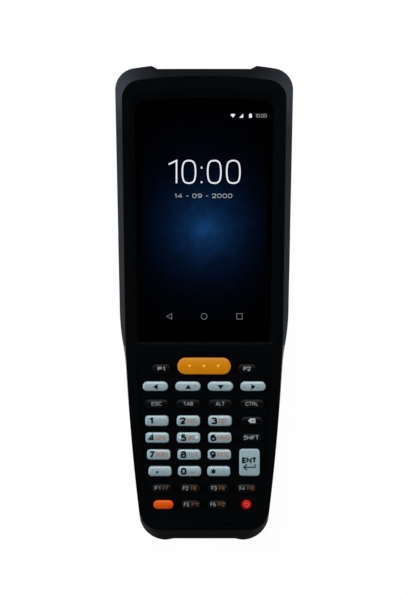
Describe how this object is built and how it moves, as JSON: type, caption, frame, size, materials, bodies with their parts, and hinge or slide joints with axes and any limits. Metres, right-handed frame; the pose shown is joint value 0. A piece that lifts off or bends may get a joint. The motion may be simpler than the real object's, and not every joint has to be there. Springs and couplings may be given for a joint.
{
  "type": "portable barcode data terminal",
  "caption": "Bar-shaped handheld scanning terminal with a tall touch screen above a full keypad, rubber corner guards, a head-end scan window and a removable back battery.",
  "frame": {"origin": "middle of the back plane that the terminal lies on, centred on its overall box", "axes": "+X to the right seen from the front, +Y from the tail to the scanning head, +Z out of the screen"},
  "size_m": [0.0746, 0.1984, 0.0317],
  "materials": {
    "black_plastic": "fine satin, black",
    "grey_plastic": "fine texture, dark grey",
    "grey_rubber": "matt overmoulded rubber, dark grey",
    "seal_rubber": "soft black gasket",
    "screw_steel": "blackened steel",
    "cover_glass": "polished black-backed cover glass",
    "adhesive_foam": "black foam tape",
    "display_panel": "dark panel",
    "keypad_silicone": "translucent grey silicone",
    "circuit_board": "green solder mask",
    "cast_frame": "as-cast magnesium alloy",
    "engine_plastic": "black moulding",
    "scan_glass": "dark red filter window",
    "motor_steel": "plain steel can",
    "port_steel": "nickel-plated shell",
    "battery_plastic": "fine texture, near black",
    "cell_wrap": "shrink-wrapped cells",
    "latch_plastic": "ribbed, mid grey",
    "white_key": "pale blue-grey, satin",
    "dark_key": "black, satin",
    "amber_key": "amber, satin",
    "orange_key": "orange, satin",
    "red_key": "red, satin"
  },
  "bodies": {
    "casing": {"front_housing": "black_plastic", "rear_housing": "grey_plastic", "rubber_bumpers": "grey_rubber", "housing_seal": "seal_rubber", "housing_screws": "screw_steel", "strap_bars": "screw_steel", "display_window": "cover_glass", "window_adhesive": "adhesive_foam", "display_module": "display_panel", "keypad_mat": "keypad_silicone", "keypad_board": "circuit_board", "chassis": "cast_frame", "main_board": "circuit_board", "scan_engine": "engine_plastic", "scan_window": "scan_glass", "loudspeaker": "engine_plastic", "vibration_motor": "motor_steel", "microphone": "motor_steel", "usb_connector": "port_steel", "battery_contacts": "engine_plastic"},
    "battery": {"battery_case": "battery_plastic", "battery_cells": "cell_wrap"},
    "latch_left": {"battery_latch_left": "latch_plastic"},
    "latch_right": {"battery_latch_right": "latch_plastic"},
    "trigger_left": {"scan_button_left": "amber_key"},
    "trigger_right": {"scan_button_right": "amber_key"},
    "key_scan": {"key_scan": "amber_key"},
    "key_p1": {"key_p1": "dark_key"},
    "key_p2": {"key_p2": "dark_key"},
    "key_left": {"key_left": "white_key"},
    "key_up": {"key_up": "white_key"},
    "key_down": {"key_down": "white_key"},
    "key_right": {"key_right": "white_key"},
    "key_escape": {"key_escape": "dark_key"},
    "key_tab": {"key_tab": "dark_key"},
    "key_alt": {"key_alt": "dark_key"},
    "key_control": {"key_control": "dark_key"},
    "key_1": {"key_1": "white_key"},
    "key_2": {"key_2": "white_key"},
    "key_3": {"key_3": "white_key"},
    "key_backspace": {"key_backspace": "dark_key"},
    "key_4": {"key_4": "white_key"},
    "key_5": {"key_5": "white_key"},
    "key_6": {"key_6": "white_key"},
    "key_shift": {"key_shift": "dark_key"},
    "key_7": {"key_7": "white_key"},
    "key_8": {"key_8": "white_key"},
    "key_9": {"key_9": "white_key"},
    "key_enter": {"key_enter": "white_key"},
    "key_dot": {"key_dot": "white_key"},
    "key_0": {"key_0": "white_key"},
    "key_star": {"key_star": "white_key"},
    "key_f1": {"key_f1": "dark_key"},
    "key_f2": {"key_f2": "dark_key"},
    "key_f3": {"key_f3": "dark_key"},
    "key_f4": {"key_f4": "dark_key"},
    "key_orange": {"key_orange": "orange_key"},
    "key_f5": {"key_f5": "dark_key"},
    "key_f6": {"key_f6": "dark_key"},
    "key_power": {"key_power": "red_key"}
  },
  "joints": [
    {"name": "battery_slide", "type": "slide", "parent": "casing", "child": "battery", "axis": [0, 0, -1], "range_m": [0, 0.02]},
    {"name": "latch_left_squeeze", "type": "slide", "parent": "battery", "child": "latch_left", "axis": [1, 0, 0], "range_m": [0, 0.0012], "stiffness_N_per_m": 1500},
    {"name": "latch_right_squeeze", "type": "slide", "parent": "battery", "child": "latch_right", "axis": [-1, 0, 0], "range_m": [0, 0.0012], "stiffness_N_per_m": 1500},
    {"name": "trigger_left_press", "type": "slide", "parent": "casing", "child": "trigger_left", "axis": [1, 0, 0], "range_m": [0, 0.0008], "stiffness_N_per_m": 1500},
    {"name": "trigger_right_press", "type": "slide", "parent": "casing", "child": "trigger_right", "axis": [-1, 0, 0], "range_m": [0, 0.0008], "stiffness_N_per_m": 1500},
    {"name": "key_scan_press", "type": "slide", "parent": "casing", "child": "key_scan", "axis": [0, 0, -1], "range_m": [0, 0.0008], "stiffness_N_per_m": 1500},
    {"name": "key_p1_press", "type": "slide", "parent": "casing", "child": "key_p1", "axis": [0, 0, -1], "range_m": [0, 0.0008], "stiffness_N_per_m": 1500},
    {"name": "key_p2_press", "type": "slide", "parent": "casing", "child": "key_p2", "axis": [0, 0, -1], "range_m": [0, 0.0008], "stiffness_N_per_m": 1500},
    {"name": "key_left_press", "type": "slide", "parent": "casing", "child": "key_left", "axis": [0, 0, -1], "range_m": [0, 0.0008], "stiffness_N_per_m": 1500},
    {"name": "key_up_press", "type": "slide", "parent": "casing", "child": "key_up", "axis": [0, 0, -1], "range_m": [0, 0.0008], "stiffness_N_per_m": 1500},
    {"name": "key_down_press", "type": "slide", "parent": "casing", "child": "key_down", "axis": [0, 0, -1], "range_m": [0, 0.0008], "stiffness_N_per_m": 1500},
    {"name": "key_right_press", "type": "slide", "parent": "casing", "child": "key_right", "axis": [0, 0, -1], "range_m": [0, 0.0008], "stiffness_N_per_m": 1500},
    {"name": "key_escape_press", "type": "slide", "parent": "casing", "child": "key_escape", "axis": [0, 0, -1], "range_m": [0, 0.0008], "stiffness_N_per_m": 1500},
    {"name": "key_tab_press", "type": "slide", "parent": "casing", "child": "key_tab", "axis": [0, 0, -1], "range_m": [0, 0.0008], "stiffness_N_per_m": 1500},
    {"name": "key_alt_press", "type": "slide", "parent": "casing", "child": "key_alt", "axis": [0, 0, -1], "range_m": [0, 0.0008], "stiffness_N_per_m": 1500},
    {"name": "key_control_press", "type": "slide", "parent": "casing", "child": "key_control", "axis": [0, 0, -1], "range_m": [0, 0.0008], "stiffness_N_per_m": 1500},
    {"name": "key_1_press", "type": "slide", "parent": "casing", "child": "key_1", "axis": [0, 0, -1], "range_m": [0, 0.0008], "stiffness_N_per_m": 1500},
    {"name": "key_2_press", "type": "slide", "parent": "casing", "child": "key_2", "axis": [0, 0, -1], "range_m": [0, 0.0008], "stiffness_N_per_m": 1500},
    {"name": "key_3_press", "type": "slide", "parent": "casing", "child": "key_3", "axis": [0, 0, -1], "range_m": [0, 0.0008], "stiffness_N_per_m": 1500},
    {"name": "key_backspace_press", "type": "slide", "parent": "casing", "child": "key_backspace", "axis": [0, 0, -1], "range_m": [0, 0.0008], "stiffness_N_per_m": 1500},
    {"name": "key_4_press", "type": "slide", "parent": "casing", "child": "key_4", "axis": [0, 0, -1], "range_m": [0, 0.0008], "stiffness_N_per_m": 1500},
    {"name": "key_5_press", "type": "slide", "parent": "casing", "child": "key_5", "axis": [0, 0, -1], "range_m": [0, 0.0008], "stiffness_N_per_m": 1500},
    {"name": "key_6_press", "type": "slide", "parent": "casing", "child": "key_6", "axis": [0, 0, -1], "range_m": [0, 0.0008], "stiffness_N_per_m": 1500},
    {"name": "key_shift_press", "type": "slide", "parent": "casing", "child": "key_shift", "axis": [0, 0, -1], "range_m": [0, 0.0008], "stiffness_N_per_m": 1500},
    {"name": "key_7_press", "type": "slide", "parent": "casing", "child": "key_7", "axis": [0, 0, -1], "range_m": [0, 0.0008], "stiffness_N_per_m": 1500},
    {"name": "key_8_press", "type": "slide", "parent": "casing", "child": "key_8", "axis": [0, 0, -1], "range_m": [0, 0.0008], "stiffness_N_per_m": 1500},
    {"name": "key_9_press", "type": "slide", "parent": "casing", "child": "key_9", "axis": [0, 0, -1], "range_m": [0, 0.0008], "stiffness_N_per_m": 1500},
    {"name": "key_enter_press", "type": "slide", "parent": "casing", "child": "key_enter", "axis": [0, 0, -1], "range_m": [0, 0.0008], "stiffness_N_per_m": 1500},
    {"name": "key_dot_press", "type": "slide", "parent": "casing", "child": "key_dot", "axis": [0, 0, -1], "range_m": [0, 0.0008], "stiffness_N_per_m": 1500},
    {"name": "key_0_press", "type": "slide", "parent": "casing", "child": "key_0", "axis": [0, 0, -1], "range_m": [0, 0.0008], "stiffness_N_per_m": 1500},
    {"name": "key_star_press", "type": "slide", "parent": "casing", "child": "key_star", "axis": [0, 0, -1], "range_m": [0, 0.0008], "stiffness_N_per_m": 1500},
    {"name": "key_f1_press", "type": "slide", "parent": "casing", "child": "key_f1", "axis": [0, 0, -1], "range_m": [0, 0.0008], "stiffness_N_per_m": 1500},
    {"name": "key_f2_press", "type": "slide", "parent": "casing", "child": "key_f2", "axis": [0, 0, -1], "range_m": [0, 0.0008], "stiffness_N_per_m": 1500},
    {"name": "key_f3_press", "type": "slide", "parent": "casing", "child": "key_f3", "axis": [0, 0, -1], "range_m": [0, 0.0008], "stiffness_N_per_m": 1500},
    {"name": "key_f4_press", "type": "slide", "parent": "casing", "child": "key_f4", "axis": [0, 0, -1], "range_m": [0, 0.0008], "stiffness_N_per_m": 1500},
    {"name": "key_orange_press", "type": "slide", "parent": "casing", "child": "key_orange", "axis": [0, 0, -1], "range_m": [0, 0.0008], "stiffness_N_per_m": 1500},
    {"name": "key_f5_press", "type": "slide", "parent": "casing", "child": "key_f5", "axis": [0, 0, -1], "range_m": [0, 0.0008], "stiffness_N_per_m": 1500},
    {"name": "key_f6_press", "type": "slide", "parent": "casing", "child": "key_f6", "axis": [0, 0, -1], "range_m": [0, 0.0008], "stiffness_N_per_m": 1500},
    {"name": "key_power_press", "type": "slide", "parent": "casing", "child": "key_power", "axis": [0, 0, -1], "range_m": [0, 0.0008], "stiffness_N_per_m": 1500}
  ]
}
